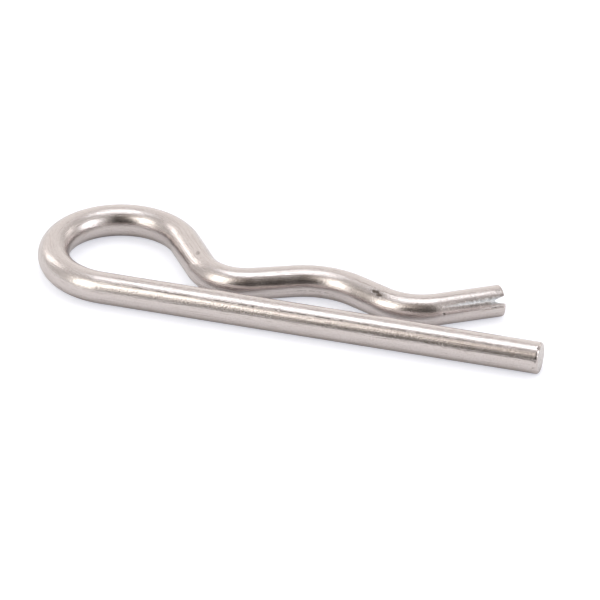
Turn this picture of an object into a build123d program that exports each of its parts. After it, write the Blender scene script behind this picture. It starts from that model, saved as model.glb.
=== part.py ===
from build123d import *
import os
from math import atan2, cos, degrees, radians, sin

# A hitch pin clip: one piece of round spring wire, bent in one plane and lying flat.
# The wire runs from the cut end of the straight leg, round an open eye, down to a first neck,
# over a saddle that grips the outside of a shaft, through a second neck and out to a flared tip.
# Sizes are in millimetres and degrees.

# Wire and straight leg
wire_diameter = 4.0
straight_leg_length = 56.4
leg_end_rounding = 0.35

# Shaft that the clip holds: the straight leg goes through it and the saddle springs over it
shaft_diameter = 16.0
spring_grip = 0.5

# Bends, by the radius on the inside of each bend
eye_inside_radius = 6.5
first_neck_inside_radius = 3.9
second_neck_inside_radius = 5.3

# Slopes of the straight stretches, measured from the straight leg
descent_slope = 54.5
climb_slope = 24.0
fall_slope = 23.5
flare_slope = 32.4

# Gaps between the wavy leg and the straight leg, and the flared end
first_neck_gap = 2.0
second_neck_gap = 2.3
flare_length = 8.3

# Sheared tip: a V notch through the end, and seams that run back from it along the wire
tip_rounding = 0.3
notch_depth = 1.2
notch_width = 1.0
notch_root_radius = 0.12
notch_turn = 33.0
main_seam_length = 7.8
main_seam_width = 0.7
main_seam_depth = 0.22
main_seam_turn = 40.0
fine_seam_length = 3.4
fine_seam_width = 0.3
fine_seam_depth = 0.12
fine_seam_turn = 8.0

# Radii of the wire and of the bends' centre line
wire_radius = wire_diameter / 2
eye_radius = eye_inside_radius + wire_radius
first_neck_radius = first_neck_inside_radius + wire_radius
saddle_radius = shaft_diameter / 2 + wire_radius
second_neck_radius = second_neck_inside_radius + wire_radius

# Heights of the centre line above the straight leg's axis
first_neck_height = wire_diameter + first_neck_gap
crest_height = shaft_diameter / 2 - spring_grip + wire_radius
second_neck_height = wire_diameter + second_neck_gap


def straight_between(rise, slope, first_radius, second_radius):
    """Length of the straight stretch that joins two opposite bends and gains this height."""
    gained_in_bends = (first_radius + second_radius) * (1 - cos(radians(slope)))
    return (rise - gained_in_bends) / sin(radians(slope))


def descent_length():
    """Length of the straight stretch from the eye down to the first neck."""
    slope = radians(descent_slope)
    height_at_eye = eye_radius * (1 + cos(slope))
    dropped_in_bend = first_neck_radius * (1 - cos(slope))
    return (height_at_eye - dropped_in_bend - first_neck_height) / sin(slope)


def centre_line():
    """Centre line of the wire, from the straight leg's end to the flared tip."""
    climb = straight_between(crest_height - first_neck_height, climb_slope, first_neck_radius, saddle_radius)
    fall = straight_between(crest_height - second_neck_height, fall_slope, saddle_radius, second_neck_radius)
    bends_and_straights = [
        (eye_radius, -180 - descent_slope, descent_length()),
        (first_neck_radius, descent_slope + climb_slope, climb),
        (saddle_radius, -climb_slope - fall_slope, fall),
        (second_neck_radius, fall_slope + flare_slope, flare_length),
    ]
    with BuildLine() as line:
        piece = Line((straight_leg_length, 0), (0, 0))
        for radius, turn, straight in bends_and_straights:
            piece = JernArc(start=piece @ 1, tangent=piece % 1, radius=radius, arc_size=turn)
            piece = Line(piece @ 1, piece @ 1 + straight * (piece % 1))
    return line.line


def frame_at_tip(line, turn):
    """Plane on the tip: Z into the wire, X out of its side at this angle above the horizontal."""
    into_wire = -(line % 1)
    side = Vector(0, 0, 1).cross(into_wire)
    return Plane(origin=line @ 1, x_dir=side, z_dir=into_wire) * Rot(0, 0, turn)


def notch(line):
    """Wedge that cuts the V notch right through the tip."""
    reach = wire_diameter
    half_mouth = notch_width / 2 * (1 + reach / notch_depth)
    outline = Polyline((-half_mouth, -reach), (0, notch_depth), (half_mouth, -reach), close=True)
    wedge = extrude(Plane.YZ * make_face(outline), amount=wire_diameter, both=True)
    root = wedge.edges().sort_by(Axis.Z)[-1]
    return frame_at_tip(line, notch_turn) * fillet(root, notch_root_radius)


def seam(line, length, width, depth, turn):
    """Slightly tilted rod that cuts a seam, deepest at the tip and running out along the wire."""
    rod_radius = (width ** 2 / 4 + depth ** 2) / (2 * depth)
    at_tip = (wire_radius - depth + rod_radius, 0, 0)
    rod = Plane(origin=at_tip, z_dir=(depth, 0, length)) * Cylinder(rod_radius, 2 * length)
    return frame_at_tip(line, turn) * rod


def hitch_pin():
    """The whole bent wire, with its underside on Z = 0 and the origin under the middle of its outline."""
    line = centre_line()
    start = Plane(origin=line @ 0, z_dir=line % 0)
    wire = sweep(start * Circle(wire_radius), path=line)
    rims = wire.edges().filter_by(GeomType.CIRCLE)
    wire = fillet(rims.sort_by_distance(line @ 0)[0], leg_end_rounding)
    rims = wire.edges().filter_by(GeomType.CIRCLE)
    wire = fillet(rims.sort_by_distance(line @ 1)[0], tip_rounding)
    wire -= notch(line)
    wire -= seam(line, main_seam_length, main_seam_width, main_seam_depth, main_seam_turn)
    wire -= seam(line, fine_seam_length, fine_seam_width, fine_seam_depth, fine_seam_turn)
    box = wire.bounding_box()
    return Pos(-box.center().X, -box.center().Y, -box.min.Z) * wire


os.makedirs("parts", exist_ok=True)
export_step(hitch_pin(), "parts/hitch_pin.step")
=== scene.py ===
import math

import bpy
import numpy as np
from mathutils import Matrix, Vector, noise


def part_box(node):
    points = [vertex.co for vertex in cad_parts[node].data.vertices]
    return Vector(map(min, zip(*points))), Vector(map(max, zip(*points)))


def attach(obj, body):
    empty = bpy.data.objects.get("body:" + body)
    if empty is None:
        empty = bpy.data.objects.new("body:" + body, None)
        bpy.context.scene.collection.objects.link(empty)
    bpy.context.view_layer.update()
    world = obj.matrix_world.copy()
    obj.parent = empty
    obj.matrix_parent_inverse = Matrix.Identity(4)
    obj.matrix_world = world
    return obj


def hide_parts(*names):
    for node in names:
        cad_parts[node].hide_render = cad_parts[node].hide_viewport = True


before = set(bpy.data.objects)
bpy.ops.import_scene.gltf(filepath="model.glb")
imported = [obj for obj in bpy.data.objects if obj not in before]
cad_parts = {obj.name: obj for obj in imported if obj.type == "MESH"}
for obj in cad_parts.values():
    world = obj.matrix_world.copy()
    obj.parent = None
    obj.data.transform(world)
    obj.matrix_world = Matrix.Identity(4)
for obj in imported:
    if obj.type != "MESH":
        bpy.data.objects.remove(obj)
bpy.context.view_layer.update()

mm = 0.001
pin_low, pin_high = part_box("hitch_pin")

# Wire form, as in the part's source, in metres and degrees
wire_radius = (pin_high.z - pin_low.z) / 2
wire_diameter = 2 * wire_radius
straight_leg_length = 56.4 * mm
shaft_diameter = 16.0 * mm
spring_grip = 0.5 * mm
eye_radius = 6.5 * mm + wire_radius
first_neck_radius = 3.9 * mm + wire_radius
saddle_radius = shaft_diameter / 2 + wire_radius
second_neck_radius = 5.3 * mm + wire_radius
descent_slope = 54.5
climb_slope = 24.0
fall_slope = 23.5
flare_slope = 32.4
flare_length = 8.3 * mm
first_neck_height = wire_diameter + 2.0 * mm
crest_height = shaft_diameter / 2 - spring_grip + wire_radius
second_neck_height = wire_diameter + 2.3 * mm

# Ends of the wire, and the rounded V notch in the flared tip: rings in the notch zone bend back into it
leg_end_rounding = 0.35 * mm
tip_rounding = 0.3 * mm
notch_depth = 1.35 * mm
notch_width = 0.95 * mm
notch_steepness = 1.8
notch_turn = 33.0
notch_zone = 2.4 * mm
notch_torn_depth = 0.6 * notch_depth

# Torn groove that runs back from the notch, drifting round the wire by some degrees per mm
groove_length = 8.2 * mm
groove_width = 0.65 * mm
groove_depth = 0.11 * mm
groove_turn = 39.5
groove_drift = -0.2

# Shape of the groove: its width at the far end, what noise does to its edges and depth, and how it deepens
groove_far_width = 0.35
groove_raggedness = 0.35
groove_unevenness = 0.5
groove_deepest = 1.2
groove_quickness = 2.2

# Bright torn metal in and beside the groove: reach in half widths, ragged edges, and how fast it appears
torn_reach = 1.3
torn_raggedness = 0.5
torn_quickness = 3.0

# Fine seam below the groove
seam_length = 3.4 * mm
seam_width = 0.3 * mm
seam_depth = 0.1 * mm
seam_turn = 8.5
seam_quickness = 2.0
seam_darkness = 0.35
seam_dark_quickness = 3.0

# Pits and nicks: place along the wire in mm, turn round it, half sizes and depth in mm, tilt in degrees
dents = [
    dict(along=97.0, turn=80, half_length=0.46, half_width=0.28, depth=0.03, tilt=-20),
    dict(along=122.8, turn=64, half_length=0.82, half_width=0.30, depth=0.11, tilt=-4),
    dict(along=122.9, turn=61, half_length=1.40, half_width=0.60, depth=0.025, tilt=-4),
    dict(along=123.3, turn=57, half_length=0.55, half_width=0.28, depth=0.09, tilt=12),
    dict(along=138.2, turn=68, half_length=0.60, half_width=0.55, depth=0.018, tilt=0),
    dict(along=130.6, turn=13, half_length=0.20, half_width=0.17, depth=0.12, tilt=0),
    dict(along=137.3, turn=9, half_length=0.26, half_width=0.12, depth=0.10, tilt=0),
    dict(along=109.2, turn=52, half_length=0.20, half_width=0.09, depth=0.03, tilt=10),
    dict(along=57.5, turn=124, half_length=0.22, half_width=0.07, depth=0.03, tilt=0),
    dict(along=33.2, turn=124, half_length=0.34, half_width=0.10, depth=0.03, tilt=8),
    dict(along=36.4, turn=128, half_length=0.26, half_width=0.09, depth=0.03, tilt=-35),
    dict(along=0.26, turn=111, half_length=0.22, half_width=0.28, depth=0.045, tilt=0),
    dict(along=0.16, turn=136, half_length=0.16, half_width=0.20, depth=0.04, tilt=0),
    dict(along=0.30, turn=160, half_length=0.20, half_width=0.45, depth=0.022, tilt=0),
    dict(along=0.55, turn=-170, half_length=0.24, half_width=0.10, depth=0.04, tilt=15),
]

# How ragged, steep and dark the dents are: one as deep as the last value, in mm, is fully dark
dent_raggedness = 0.5
dent_ragged_reach = 0.6
dent_steepness = 1.5
dent_dark_spread = 1.8
dark_dent_depth = 0.07

# Worn, stained metal on both sides of the groove and on the fall, with places and sizes as for the dents
stains = [
    dict(along=138.7, turn=38, half_length=9.0, half_width=0.75, darkness=0.42, mottle=0.9),
    dict(along=121.1, turn=34, half_length=2.2, half_width=0.9, darkness=0.5, mottle=0.25),
]
stain_soft_share = 0.5

# Noise that makes the damage ragged: waves per mm for each kind, and how its finer waves add up
groove_noise = 5.0
stain_noise = 2.2
dent_noise = 3.5
noise_slice = 0.7
noise_fading = 0.6
noise_growth = 2.0
noise_octaves = 3

# Mesh of the wire: columns stand closer about the focus, and rings at the ends, the groove and the dents
columns = 128
column_focus = 28.0
focus_width = 22.0
focus_gain = 2.2
ring_spacing = 0.27 * mm
groove_ring_spacing = 0.12 * mm
end_ring_spacing = 0.07 * mm
dent_ring_spacing = 0.09 * mm
dent_ring_reach = 1.6
fine_leg_end = 1.0 * mm
cap_rings = 22
cap_centre_radius = 0.02 * mm
rounding_rings = 7
length_samples = 20001
turn_samples = 7201
rim_fading = 4
sharp_angle = 35.0

# Camera, fitted to the photograph's outline of the wire
view_azimuth = 15.07
view_elevation = 31.21
view_roll = 1.146
view_distance = 0.798
view_lens = 385.2
view_aim = Vector((1.489 * mm, -3.985 * mm, 2.0 * mm))

# Light in the studio: azimuth 0 is to the front and 90 to +X, angles are in degrees
warm = (1.03, 1.0, 0.97)
cream = (1.03, 1.0, 0.935)
cool = (0.97, 0.98, 1.0)
brown = (1.12, 1.0, 0.9)
wall_strength = 0.69
wall_patches = [
    dict(azimuth=-155, elevation=18, half_width=36, half_height=34, soft=30, strength=1.05, tint=warm),
    dict(azimuth=-165, elevation=4, half_width=8, half_height=8, soft=10, strength=1.4, tint=warm),
    dict(azimuth=15, elevation=44, half_width=30, half_height=38, soft=14, strength=0.44, tint=brown),
    dict(azimuth=-25, elevation=50, half_width=22, half_height=9, soft=10, strength=0.68, tint=brown),
    dict(azimuth=26, elevation=44, half_width=17, half_height=25, soft=12, strength=0.12, tint=brown),
    dict(azimuth=14, elevation=23, half_width=28, half_height=17, soft=5, strength=0.06, tint=brown),
]
sweep_top = 4.8
sweep_softness = 1.5
sweep_white = (1, 1, 1, 1)
softboxes = [
    dict(name="left_front", azimuth=-39, elevation=34, distance=0.40, width=0.265, height=0.38,
         squareness=4, core=0.42, strength=3.1, tint=cream),
    dict(name="left_back", azimuth=-111, elevation=29, distance=0.45, width=0.14, height=0.23,
         squareness=16, core=0.8, strength=2.3, tint=warm),
    dict(name="right", azimuth=86, elevation=29, distance=0.45, width=0.345, height=0.34,
         squareness=2, core=0.8, strength=2.8, tint=cool),
    dict(name="right_back", azimuth=144, elevation=28, distance=0.50, width=0.15, height=0.20,
         squareness=16, core=0.8, strength=1.8, tint=warm),
    dict(name="overhead", azimuth=-163, elevation=79.5, distance=0.50, width=0.34, height=0.272,
         squareness=16, core=0.75, strength=2.5, tint=cool),
]
softbox_corners = 64
softbox_edge_glow = 0.25

# Colours of the steel
bright_steel = (0.65, 0.60, 0.588, 1)
dull_steel = (0.50, 0.44, 0.42, 1)
scratched_steel = (0.36, 0.31, 0.29, 1)
# Dark lines along the wire: partly die lines, partly painted reflection of the dark gaps between highlights
die_and_painted_reflection_line_steel = (0.22, 0.19, 0.175, 1)
# Painted shade along the underside, where the wire lies on the table
painted_shade_steel = (0.21, 0.15, 0.12, 1)
torn_steel = (0.75, 0.76, 0.78, 1)
dark_steel = (0.12, 0.10, 0.09, 1)

# Noises on the steel: waves per mm along, across and up the wire
steel_noises = {
    "waves": dict(scale=(0.7, 0.9, 0.9), detail=1.5),
    "lines": dict(scale=(0.06, 5.5, 5.5), detail=2.5),
    "dashes": dict(scale=(0.5, 7.0, 7.0), detail=2.0),
    "scratches": dict(scale=(0.4, 8.0, 8.0), detail=2.0),
    "grain": dict(scale=(4.5, 5.5, 5.5), detail=3.0, roughness=0.6),
    "patches": dict(scale=(0.3, 0.7, 0.7), detail=3.0),
    "breaks": dict(scale=(1.3, 0.4, 0.4), detail=3.0),
}

# How much of each noise shows: from what value, up to what value, and with what shares there
dull_lines = (0.5, 0.72)
dull_patches = (0.36, 0.62)
dull_share = 0.7
grain_shares = (0.42, 0.72, 0.0, 0.5)
scratch_shares = (0.60, 0.76, 0.0, 0.7)
line_breaks = (0.43, 0.53)

# Roughness that each layer adds to the bare steel's, and height of each noise in mm
bare_roughness = 0.05
added_roughness = dict(patches=0.12, grain=0.10, dull=0.08, torn=0.30, dark=0.25, bent=0.08)
bump_heights = dict(waves=0.009, lines=0.012, dashes=0.013, grain=0.019)
bend_blend = 5.0 * mm

# Broken dark lines, partly left by the drawing die and partly painted reflection of the dark gaps between
# highlights: turn and half width in degrees, first and last place in mm
die_and_painted_reflection_lines = [
    dict(turn=127.6, half_width=1.6, first=24, last=52, darkness=0.9),
    dict(turn=127.5, half_width=1.8, first=2, last=26, darkness=0.55),
    dict(turn=155.0, half_width=4.0, first=3, last=30, darkness=0.3),
    dict(turn=95.0, half_width=1.4, first=2, last=54, darkness=0.35),
    dict(turn=-7.0, half_width=1.6, first=110, last=116, darkness=0.7),
    dict(turn=79.0, half_width=1.6, first=118, last=137, darkness=0.35),
]
dark_line_side_softness = 2.0
dark_line_end_softness = 3.0

# Painted shade on the side that the wire lies on, darkest where it touches the table, up to this height in mm
painted_shade_height = 1.4
painted_shade_share = 0.65

# White table: floor_albedo lights the pin, the camera sees the rest, and mirror images see a share of that
floor_half_size = 3.0
floor_roughness = 0.9
floor_albedo = (0.90, 0.90, 0.91, 1)
seen_albedo = (0.60, 0.60, 0.60, 1)
floor_wash = 0.56
mirror_wash = 0.17
wash_white = (0.99, 1.01, 1.10, 1)


# Form of the wire

def straight_between(rise, slope, first_radius, second_radius):
    """Length of the straight stretch between two opposite bends, for this gain in height."""
    slope = math.radians(slope)
    return (rise - (first_radius + second_radius) * (1 - math.cos(slope))) / math.sin(slope)


def descent_length():
    """Length of the straight stretch from the eye down to the first neck."""
    slope = math.radians(descent_slope)
    height_at_eye = eye_radius * (1 + math.cos(slope))
    dropped_in_bend = first_neck_radius * (1 - math.cos(slope))
    return (height_at_eye - dropped_in_bend - first_neck_height) / math.sin(slope)


def wire_stretches():
    """Length and turn, in radians, of each straight and bend, from the leg's cut end to the tip."""
    climb = straight_between(crest_height - first_neck_height, climb_slope, first_neck_radius, saddle_radius)
    fall = straight_between(crest_height - second_neck_height, fall_slope, saddle_radius, second_neck_radius)
    bends = [
        (eye_radius, -180 - descent_slope, descent_length()),
        (first_neck_radius, descent_slope + climb_slope, climb),
        (saddle_radius, -climb_slope - fall_slope, fall),
        (second_neck_radius, fall_slope + flare_slope, flare_length),
    ]
    stretches = [(straight_leg_length, 0.0)]
    for radius, turn, straight in bends:
        turn = math.radians(turn)
        stretches += [(radius * abs(turn), turn), (straight, 0.0)]
    return stretches


wire_length = sum(length for length, turn in wire_stretches())


def on_stretch(start, heading, length, turn, along):
    """Points and headings at these distances from the start of one straight or bend."""
    headings = heading + turn * along / length
    if turn:
        radius = length / turn
        x = start[0] + radius * (np.sin(headings) - math.sin(heading))
        y = start[1] - radius * (np.cos(headings) - math.cos(heading))
        return np.stack([x, y], axis=-1), headings
    direction = np.array([math.cos(heading), math.sin(heading)])
    return start + along[:, None] * direction, headings


def centre_line(distances):
    """Points and headings on the wire's centre line at these distances from the leg's cut end."""
    points = np.zeros((len(distances), 2))
    headings = np.zeros(len(distances))
    start = np.array([pin_high.x, pin_low.y + wire_radius])
    heading = math.pi
    covered = 0.0
    for length, turn in wire_stretches():
        beyond = distances >= covered
        along = distances[beyond] - covered
        points[beyond], headings[beyond] = on_stretch(start, heading, length, turn, along)
        end_points, end_headings = on_stretch(start, heading, length, turn, np.array([length]))
        start = end_points[0]
        heading = end_headings[0]
        covered += length
    return points, headings


# Rings and columns of the mesh

def end_profile(rounding):
    """Depth below the end face and radius of each ring, from the rounding's start to the centre."""
    angles = np.linspace(0, math.pi / 2, rounding_rings + 1)
    face_radii = np.linspace(wire_radius - rounding, cap_centre_radius, cap_rings + 1)[1:]
    depths = np.concatenate([rounding * (1 - np.sin(angles)), np.zeros(cap_rings)])
    radii = np.concatenate([wire_radius - rounding * (1 - np.cos(angles)), face_radii])
    return depths, radii


def evenly_by_spacing(start, end, spacing_at):
    """Places from start to end whose gaps follow the wanted spacing at each place."""
    fine = np.linspace(start, end, length_samples)
    steps = (fine[1] - fine[0]) / spacing_at((fine[1:] + fine[:-1]) / 2)
    covered = np.concatenate([[0.0], np.cumsum(steps)])
    count = int(math.ceil(covered[-1])) + 1
    return np.interp(np.linspace(0, covered[-1], count), covered, fine)


def spacing_along(distances):
    """Gap between rings: fine at the ends, the groove and the dents."""
    spacing = np.full(len(distances), ring_spacing)
    spacing[distances > wire_length - groove_length] = groove_ring_spacing
    for dent in dents:
        close = abs(distances - dent["along"] * mm) < dent_ring_reach * dent["half_length"] * mm
        spacing[close] = np.minimum(spacing[close], dent_ring_spacing)
    spacing[distances > wire_length - notch_zone] = end_ring_spacing
    spacing[distances < fine_leg_end] = end_ring_spacing
    return spacing


def ring_plan():
    """Distance along the wire and radius of each ring, from the middle of one end face to the other's."""
    leg_depths, leg_radii = end_profile(leg_end_rounding)
    tip_depths, tip_radii = end_profile(tip_rounding)
    between = evenly_by_spacing(leg_end_rounding, wire_length - tip_rounding, spacing_along)[1:-1]
    distances = np.concatenate([leg_depths[::-1], between, wire_length - tip_depths])
    radii = np.concatenate([leg_radii[::-1], np.full(len(between), wire_radius), tip_radii])
    return distances, radii


def column_turns():
    """Turns round the wire for the columns of vertices, closer together at the groove and the notch."""
    fine = np.linspace(0, 360, turn_samples)
    off_focus = (fine - column_focus + 180) % 360 - 180
    density = 1 + focus_gain * np.exp(-(off_focus / focus_width) ** 2)
    covered = np.concatenate([[0.0], np.cumsum((density[1:] + density[:-1]) / 2)])
    places = np.linspace(0, covered[-1], columns + 1)[:-1]
    return np.radians(np.interp(places, covered, fine))


def ring_faces(count):
    """Quads between neighbouring rings, and a closing face on each end."""
    rows = np.arange(count - 1)[:, None] * columns
    here = rows + np.arange(columns)
    following = rows + (np.arange(columns) + 1) % columns
    quads = np.stack([here, here + columns, following + columns, following], axis=-1)
    first_end = list(range(columns))
    last_end = list(range(count * columns - 1, (count - 1) * columns - 1, -1))
    return quads.reshape(-1, 4).tolist() + [first_end, last_end]


# Damage and wear, worked out for each vertex

def arc_from(turns, turn):
    """Distance round the wire's surface from this turn, in metres."""
    off = turns - np.radians(turn)
    return wire_radius * ((off + math.pi) % (2 * math.pi) - math.pi)


def ragged_noise(along, turns, waves_per_mm):
    """Smooth random values about zero, the same in each run."""
    places = zip(along / mm, turns * wire_radius / mm)
    points = [Vector((a * waves_per_mm, t * waves_per_mm, noise_slice)) for a, t in places]
    return np.array([noise.fractal(point, noise_fading, noise_growth, noise_octaves) for point in points])


def run_in(share, quickness):
    """Strength that grows with the share of a mark's length behind it, up to one."""
    return np.minimum(1, quickness * share)


def groove_marks(along, turns):
    """Depth of the torn groove, and how torn the metal is."""
    from_tip = wire_length - along
    share = np.clip(1 - from_tip / groove_length, 0, 1)
    width = groove_width * (groove_far_width + (1 - groove_far_width) * share)
    across = abs(arc_from(turns, groove_turn + groove_drift * from_tip / mm))
    near = (share > 0) & (across < width)
    rough = np.zeros(along.shape)
    rough[near] = ragged_noise(along[near], turns[near], groove_noise)
    off_middle = across / (width / 2)
    profile = np.clip(1 - off_middle + groove_raggedness * rough, 0, groove_deepest) * (share > 0)
    depth = groove_depth * profile * run_in(share, groove_quickness) * (1 + groove_unevenness * rough)
    torn = np.clip(torn_reach - off_middle + torn_raggedness * rough, 0, 1) * run_in(share, torn_quickness)
    return np.clip(depth, 0, None), torn


def seam_marks(along, turns):
    """Depth and darkness of the fine seam."""
    share = np.clip(1 - (wire_length - along) / seam_length, 0, 1)
    profile = np.clip(1 - abs(arc_from(turns, seam_turn)) / (seam_width / 2), 0, 1)
    depth = seam_depth * profile * run_in(share, seam_quickness)
    dark = seam_darkness * profile * run_in(share, seam_dark_quickness)
    return depth, dark


def stain_marks(along, turns, stain):
    """Darkness of one patch of worn, stained metal."""
    ahead = abs(along - stain["along"] * mm) / (stain["half_length"] * mm)
    across = abs(arc_from(turns, stain["turn"])) / (stain["half_width"] * mm)
    inside = np.clip((1 - ahead) / stain_soft_share, 0, 1) * np.clip((1 - across) / stain_soft_share, 0, 1)
    near = inside > 0
    rough = np.zeros(along.shape)
    rough[near] = ragged_noise(along[near], turns[near], stain_noise)
    return np.clip(stain["darkness"] * inside * (1 + stain["mottle"] * rough), 0, 1)


def dent_marks(along, turns, dent):
    """Depth and darkness of one pit or nick."""
    ahead = along - dent["along"] * mm
    across = arc_from(turns, dent["turn"])
    tilt = math.radians(dent["tilt"])
    long_way = (ahead * math.cos(tilt) + across * math.sin(tilt)) / (dent["half_length"] * mm)
    short_way = (across * math.cos(tilt) - ahead * math.sin(tilt)) / (dent["half_width"] * mm)
    inside = 1 - long_way ** 2 - short_way ** 2
    near = inside > -dent_ragged_reach
    inside[near] += dent_raggedness * ragged_noise(along[near], turns[near], dent_noise)
    inside = np.clip(inside, 0, 1)
    depth = dent["depth"] * mm * inside ** dent_steepness
    dark = np.clip(dent_dark_spread * inside, 0, 1) * min(1, dent["depth"] / dark_dent_depth)
    return depth, dark


def surface_marks(along, turns):
    """How far the surface is sunk, how dark it is and how torn, for each vertex."""
    sunk, torn = groove_marks(along, turns)
    seam, dark = seam_marks(along, turns)
    sunk = np.maximum(sunk, seam)
    for stain in stains:
        dark = np.maximum(dark, stain_marks(along, turns, stain))
    dark = dark * (1 - torn)
    for dent in dents:
        depth, shade = dent_marks(along, turns, dent)
        sunk = np.maximum(sunk, depth)
        dark = np.maximum(dark, shade)
    return sunk, dark, torn


def bend_share(distances):
    """One in the bends and zero on the straights, blended over a short way."""
    share = np.zeros(len(distances))
    covered = 0.0
    for length, turn in wire_stretches():
        if turn:
            inside = np.minimum(distances - covered, covered + length - distances)
            share = np.maximum(share, np.clip(0.5 + inside / bend_blend, 0, 1))
        covered += length
    return share


# The wire's mesh

def end_face_depth(radius, turns):
    """How far the notch sinks the tip's end face at this radius, for each turn round the wire."""
    across = abs(radius * np.sin(turns - math.radians(notch_turn))) / (notch_width / 2)
    return notch_depth * np.clip(1 - across ** notch_steepness, 0, None)


def notched_places(distances, radii, turns):
    """Distance along the wire of each vertex, with the rings near the tip bent back into the notch."""
    along = np.repeat(distances[:, None], columns, axis=1)
    zone_start = wire_length - notch_zone
    for row in np.nonzero(distances > zone_start)[0]:
        share = (distances[row] - zone_start) / notch_zone
        along[row] -= share * end_face_depth(radii[row], turns)
    return along


def placed_on_wire(along, side, up):
    """Vertices at these distances along the wire and these offsets from its centre line."""
    points, headings = centre_line(along.ravel())
    points = points.reshape(*along.shape, 2)
    headings = headings.reshape(along.shape)
    x = points[..., 0] + side * np.sin(headings)
    y = points[..., 1] - side * np.cos(headings)
    return np.stack([x, y, wire_radius + up], axis=-1)


def wire_vertices():
    """Vertices, wire coordinates in mm (along, side, up) and marks (dark, torn, bent), by ring and column."""
    turns = column_turns()
    distances, radii = ring_plan()
    along = notched_places(distances, radii, turns)
    unnotched = np.broadcast_to(distances[:, None], along.shape)
    sunk, dark, torn = surface_marks(unnotched, np.broadcast_to(turns, along.shape))
    near_rim = (radii[:, None] / wire_radius) ** rim_fading
    radius = radii[:, None] - sunk * near_rim
    side = radius * np.cos(turns)
    up = radius * np.sin(turns)
    in_notch = np.clip((unnotched - along) / notch_torn_depth, 0, 1)
    bent = np.broadcast_to(bend_share(distances)[:, None], along.shape)
    coordinates = np.stack([along, side, up], axis=-1) / mm
    marks = np.stack([dark * near_rim, np.maximum(torn * near_rim, in_notch), bent], axis=-1)
    return placed_on_wire(along, side, up), coordinates, marks


def add_object(name, data):
    """New object in the scene with this mesh or camera."""
    added = bpy.data.objects.new(name, data)
    bpy.context.scene.collection.objects.link(added)
    return added


def make_wire():
    """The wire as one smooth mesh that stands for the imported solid."""
    vertices, coordinates, marks = wire_vertices()
    mesh = bpy.data.meshes.new("bent_wire")
    mesh.from_pydata(vertices.reshape(-1, 3).tolist(), [], ring_faces(len(vertices)))
    for name, values in (("wire_coordinates", coordinates), ("marks", marks)):
        attribute = mesh.attributes.new(name, "FLOAT_VECTOR", "POINT")
        attribute.data.foreach_set("vector", values.astype(np.float32).ravel())
    mesh.shade_smooth()
    mesh.set_sharp_from_angle(angle=math.radians(sharp_angle))
    mesh.validate()
    wire = add_object("bent_wire", mesh)
    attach(wire, "root")
    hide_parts("hitch_pin")
    return wire


# Materials

class Nodes:
    """Short calls that add nodes to one tree. A value is a number, a colour or another node's output."""

    def __init__(self, tree):
        self.tree = tree

    def named(self, name):
        """Node that the tree has from the start."""
        return self.tree.nodes[name]

    def add(self, kind, **settings):
        """New node of this kind, with these settings."""
        node = self.tree.nodes.new(kind)
        for name, value in settings.items():
            setattr(node, name, value)
        return node

    def put(self, socket, value):
        """Give an input this value."""
        if isinstance(value, bpy.types.NodeSocket):
            self.tree.links.new(value, socket)
        else:
            socket.default_value = value

    def math(self, operation, *values):
        """Result of one arithmetic operation."""
        node = self.add("ShaderNodeMath", operation=operation)
        for socket, value in zip(node.inputs, values):
            self.put(socket, value)
        return node.outputs[0]

    def attribute(self, name):
        """Vector that each vertex of the mesh holds under this name."""
        return self.add("ShaderNodeAttribute", attribute_name=name).outputs["Vector"]

    def split(self, vector):
        """The three parts of a vector."""
        node = self.add("ShaderNodeSeparateXYZ")
        self.put(node.inputs[0], vector)
        return node.outputs

    def ramp(self, value, low, high, start=0.0, end=1.0):
        """Smooth step of value from low to high, as a number from start to end."""
        node = self.add("ShaderNodeMapRange", interpolation_type="SMOOTHSTEP")
        inputs = {"Value": value, "From Min": low, "From Max": high, "To Min": start, "To Max": end}
        for name, number in inputs.items():
            self.put(node.inputs[name], number)
        return node.outputs[0]

    def window(self, value, low, high, soft):
        """One between low and high and zero outside, with soft edges."""
        rise = self.ramp(value, low - soft / 2, low + soft / 2)
        fall = self.ramp(value, high - soft / 2, high + soft / 2, 1.0, 0.0)
        return self.math("MULTIPLY", rise, fall)

    def mix(self, share, first, second):
        """Colour between two others, with this share of the second."""
        node = self.add("ShaderNodeMix", data_type="RGBA")
        self.put(node.inputs["Factor"], share)
        self.put(node.inputs["A"], first)
        self.put(node.inputs["B"], second)
        return node.outputs["Result"]

    def noise(self, coordinates, scale, detail, roughness=0.5):
        """Noise from 0 to 1 with its own scale along, across and up."""
        stretched = self.add("ShaderNodeVectorMath", operation="MULTIPLY")
        self.put(stretched.inputs[0], coordinates)
        self.put(stretched.inputs[1], scale)
        node = self.add("ShaderNodeTexNoise")
        inputs = {"Vector": stretched.outputs[0], "Scale": 1.0, "Detail": detail, "Roughness": roughness}
        for name, value in inputs.items():
            self.put(node.inputs[name], value)
        return node.outputs[0]

    def weighted_sum(self, values, weights, start=0.0):
        """Start, plus each named value times its weight."""
        total = start
        for name, weight in weights.items():
            total = self.math("MULTIPLY_ADD", values[name], weight, total)
        return total


def new_material(name):
    """New material, and short calls for its nodes."""
    material = bpy.data.materials.new(name)
    material.use_nodes = True
    return material, Nodes(material.node_tree)


def die_and_painted_reflection_line_mask(n, where, breaks):
    """One on the broken dark lines along the wire, partly die lines and partly painted reflection, and zero
    elsewhere.
    """
    along, side, up = n.split(where)
    turn = n.math("DEGREES", n.math("ARCTAN2", up, side))
    shade = 0.0
    for line in die_and_painted_reflection_lines:
        first_turn = line["turn"] - line["half_width"]
        last_turn = line["turn"] + line["half_width"]
        across = n.window(turn, first_turn, last_turn, dark_line_side_softness)
        inside = n.window(along, line["first"], line["last"], dark_line_end_softness)
        faint = n.math("MULTIPLY", inside, line["darkness"])
        shade = n.math("MAXIMUM", shade, n.math("MULTIPLY", across, faint))
    return n.math("MULTIPLY", shade, n.ramp(breaks, *line_breaks))


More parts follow.
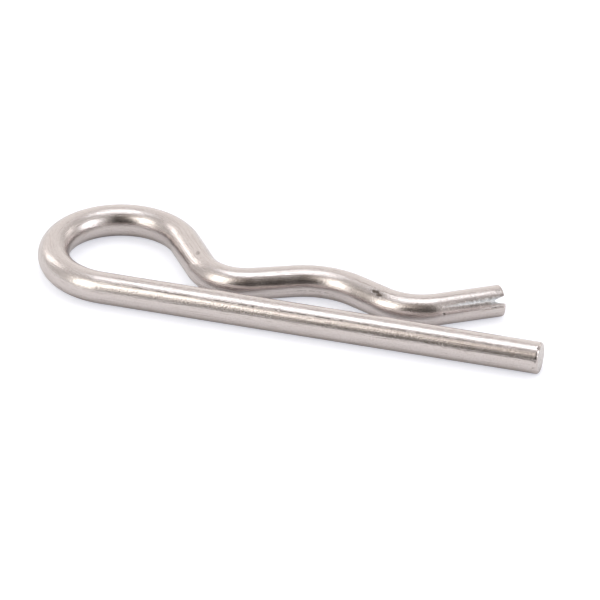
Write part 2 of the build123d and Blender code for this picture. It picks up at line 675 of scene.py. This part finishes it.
def underside_painted_shade(n, where):
    """Share of painted shade along the side that the wire lies on, strongest where it touches the table."""
    up = n.split(where)[2]
    bottom = -wire_radius / mm
    return n.ramp(up, bottom, bottom + painted_shade_height, painted_shade_share, 0.0)


def steel_colour(n, where, layers):
    """Bare steel under dull streaks, grain, scratches, dark lines that are partly die lines and partly
    painted reflection, painted shade underneath, torn metal and stains.
    """
    colour = n.mix(n.math("MULTIPLY", layers["dull"], dull_share), bright_steel, dull_steel)
    colour = n.mix(n.ramp(layers["grain"], *grain_shares), colour, dull_steel)
    colour = n.mix(n.ramp(layers["scratches"], *scratch_shares), colour, scratched_steel)
    # Dark lines: partly die lines, partly painted reflection of the dark gaps between highlights
    colour = n.mix(die_and_painted_reflection_line_mask(n, where, layers["breaks"]), colour, die_and_painted_reflection_line_steel)
    # Painted shade along the underside, darkest where the wire touches the table
    colour = n.mix(underside_painted_shade(n, where), colour, painted_shade_steel)
    colour = n.mix(layers["torn"], colour, torn_steel)
    return n.mix(layers["dark"], colour, dark_steel)


def steel():
    """Bright drawn stainless wire with drawing lines, dark lines that are partly painted reflection, a grain,
    dull patches, worn marks and painted shade underneath.
    """
    material, n = new_material("drawn_stainless")
    shader = n.named("Principled BSDF")
    where = n.attribute("wire_coordinates")
    layers = {name: n.noise(where, **settings) for name, settings in steel_noises.items()}
    layers["dark"], layers["torn"], layers["bent"] = n.split(n.attribute("marks"))
    in_lines = n.ramp(layers["lines"], *dull_lines)
    in_patches = n.ramp(layers["patches"], *dull_patches)
    layers["dull"] = n.math("MULTIPLY", in_lines, in_patches)
    n.put(shader.inputs["Base Color"], steel_colour(n, where, layers))
    n.put(shader.inputs["Metallic"], 1.0)
    n.put(shader.inputs["Roughness"], n.weighted_sum(layers, added_roughness, bare_roughness))
    bump = n.add("ShaderNodeBump")
    n.put(bump.inputs["Strength"], 1.0)
    n.put(bump.inputs["Distance"], mm)
    n.put(bump.inputs["Height"], n.weighted_sum(layers, bump_heights))
    n.put(shader.inputs["Normal"], bump.outputs[0])
    return material


def floor_material():
    """Matt white table. Its glow for the camera and for mirror images lets shadows fade fast."""
    material, n = new_material("white_table")
    shader = n.named("Principled BSDF")
    rays = n.add("ShaderNodeLightPath").outputs
    mirrored = n.math("MULTIPLY", rays["Is Glossy Ray"], mirror_wash)
    seen = n.math("MAXIMUM", rays["Is Camera Ray"], mirrored)
    n.put(shader.inputs["Base Color"], n.mix(seen, floor_albedo, seen_albedo))
    n.put(shader.inputs["Roughness"], floor_roughness)
    n.put(shader.inputs["Specular IOR Level"], 0.0)
    n.put(shader.inputs["Emission Color"], wash_white)
    n.put(shader.inputs["Emission Strength"], n.math("MULTIPLY", seen, floor_wash))
    return material


# Studio and camera

def make_floor():
    """Plain white table top."""
    mesh = bpy.data.meshes.new("floor")
    low, high = -floor_half_size, floor_half_size
    corners = [(low, low, 0), (high, low, 0), (high, high, 0), (low, high, 0)]
    mesh.from_pydata(corners, [], [(0, 1, 2, 3)])
    mesh.materials.append(floor_material())
    add_object("floor", mesh)


def towards(azimuth, elevation):
    """Unit vector from the pin in this direction."""
    azimuth, elevation = math.radians(azimuth), math.radians(elevation)
    level = math.cos(elevation)
    return Vector((math.sin(azimuth) * level, -math.cos(azimuth) * level, math.sin(elevation)))


def softbox_outline(width, height, squareness):
    """Corners of a softbox's front: an ellipse at squareness 2, and nearly a rectangle at 16."""
    angles = 2 * math.pi * (np.arange(softbox_corners) + 0.5) / softbox_corners
    x = np.sign(np.cos(angles)) * abs(np.cos(angles)) ** (2 / squareness) * width / 2
    y = np.sign(np.sin(angles)) * abs(np.sin(angles)) ** (2 / squareness) * height / 2
    return [(px, py, 0) for px, py in zip(x, y)]


def softbox_glow(box):
    """Glow of a softbox, full inside its core and dimmer towards its edges."""
    material, n = new_material("glow_" + box["name"])
    across, up = n.split(n.add("ShaderNodeTexCoord").outputs["Object"])[:2]
    across = n.math("ABSOLUTE", n.math("DIVIDE", across, box["width"] / 2))
    up = n.math("ABSOLUTE", n.math("DIVIDE", up, box["height"] / 2))
    from_middle = n.math("MAXIMUM", across, up)
    edge_strength = softbox_edge_glow * box["strength"]
    glow = n.add("ShaderNodeEmission")
    n.put(glow.inputs["Color"], (*box["tint"], 1))
    n.put(glow.inputs["Strength"], n.ramp(from_middle, box["core"], 1.0, box["strength"], edge_strength))
    n.put(n.named("Material Output").inputs["Surface"], glow.outputs[0])
    return material


def make_softbox(box):
    """Glowing panel that faces the pin and that the camera doesn't see."""
    mesh = bpy.data.meshes.new(box["name"])
    corners = softbox_outline(box["width"], box["height"], box["squareness"])
    mesh.from_pydata(corners, [], [tuple(range(len(corners)))])
    mesh.materials.append(softbox_glow(box))
    panel = add_object("softbox_" + box["name"], mesh)
    direction = towards(box["azimuth"], box["elevation"])
    facing = direction.to_track_quat("Z", "Y").to_matrix().to_4x4()
    panel.matrix_world = Matrix.Translation(direction * box["distance"]) @ facing
    panel.visible_camera = False
    panel.visible_shadow = False


def patch_mask(n, azimuth, elevation, patch):
    """One inside a soft-edged patch of the walls, given by its middle and half sizes in degrees."""
    off_middle = n.math("WRAP", n.math("SUBTRACT", azimuth, patch["azimuth"]), 180.0, -180.0)
    bottom = patch["elevation"] - patch["half_height"]
    top = patch["elevation"] + patch["half_height"]
    across = n.window(off_middle, -patch["half_width"], patch["half_width"], patch["soft"])
    up = n.window(elevation, bottom, top, patch["soft"])
    return n.math("MULTIPLY", across, up)


def tinted(tint, strength):
    """Colour with this tint and strength."""
    return [strength * channel for channel in tint] + [1]


def make_world():
    """Studio walls with lighter and darker patches, and a white sweep from the horizon down."""
    world = bpy.data.worlds.new("studio")
    world.use_nodes = True
    bpy.context.scene.world = world
    n = Nodes(world.node_tree)
    x, y, z = n.split(n.add("ShaderNodeTexCoord").outputs["Generated"])
    front = n.math("MULTIPLY", y, -1.0)
    azimuth = n.math("DEGREES", n.math("ARCTAN2", x, front))
    elevation = n.math("DEGREES", n.math("ARCSINE", z))
    colour = tinted(warm, wall_strength)
    for patch in wall_patches:
        mask = patch_mask(n, azimuth, elevation, patch)
        colour = n.mix(mask, colour, tinted(patch["tint"], patch["strength"]))
    above_sweep = n.ramp(elevation, sweep_top - sweep_softness, sweep_top)
    n.put(n.named("Background").inputs["Color"], n.mix(above_sweep, sweep_white, colour))


def make_camera():
    """Camera at the photograph's angle, far off with a long lens."""
    data = bpy.data.cameras.new("camera")
    data.lens = view_lens
    data.sensor_width = 36
    data.clip_start = 0.01
    data.clip_end = 20
    camera = add_object("camera", data)
    back = towards(view_azimuth, view_elevation)
    turn = (-back).to_track_quat("-Z", "Y").to_matrix().to_4x4()
    roll = Matrix.Rotation(math.radians(view_roll), 4, "Z")
    camera.matrix_world = Matrix.Translation(view_aim + back * view_distance) @ turn @ roll
    bpy.context.scene.camera = camera


wire = make_wire()
wire.data.materials.append(steel())
make_floor()
make_world()
for box in softboxes:
    make_softbox(box)
make_camera()
bpy.context.scene.view_settings.view_transform = "Standard"
